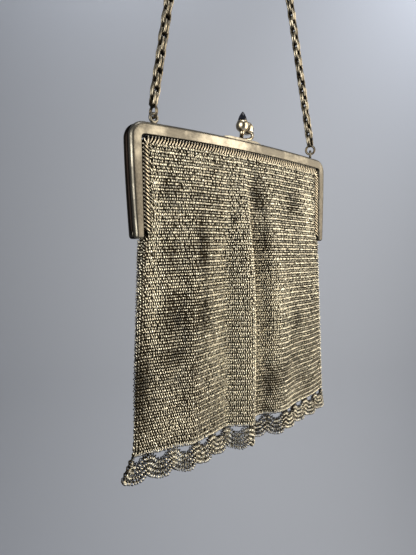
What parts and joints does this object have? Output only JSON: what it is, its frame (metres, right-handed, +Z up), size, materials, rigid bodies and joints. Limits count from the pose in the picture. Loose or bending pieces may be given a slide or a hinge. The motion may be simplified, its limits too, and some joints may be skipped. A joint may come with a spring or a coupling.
{
  "type": "metal ring-mesh purse",
  "caption": "Small ring-mesh evening purse with an arched hinged frame, a kiss-lock clasp with pointed dark stones, a long carrying chain and a scalloped mesh fringe.",
  "frame": {"origin": "top of the carrying chain's bend, where the purse hangs", "axes": "+Z up, +X along the frame to the right as seen from the front, -Y to the front"},
  "size_m": [0.1331, 0.0166, 0.3428],
  "materials": {
    "frame_silver": "worn and tarnished silver, satin with rubbed bright edges",
    "wire_silver": "rubbed bright silver wire, dark between the turns",
    "mesh_silver": "fine silver rings with uneven dark tarnish",
    "dark_stone": "polished, nearly black"
  },
  "bodies": {
    "root": {"frame_front": "frame_silver", "frame_back": "frame_silver", "clasp_stone_left": "dark_stone", "clasp_stone_right": "dark_stone", "hinge_barrel_left": "frame_silver", "hinge_barrel_right": "frame_silver", "binding_front": "wire_silver", "binding_back": "wire_silver", "mesh_bag": "mesh_silver", "mesh_fringe": "mesh_silver", "end_ring_left": "wire_silver", "end_ring_right": "wire_silver", "chain": "wire_silver"}
  },
  "joints": []
}
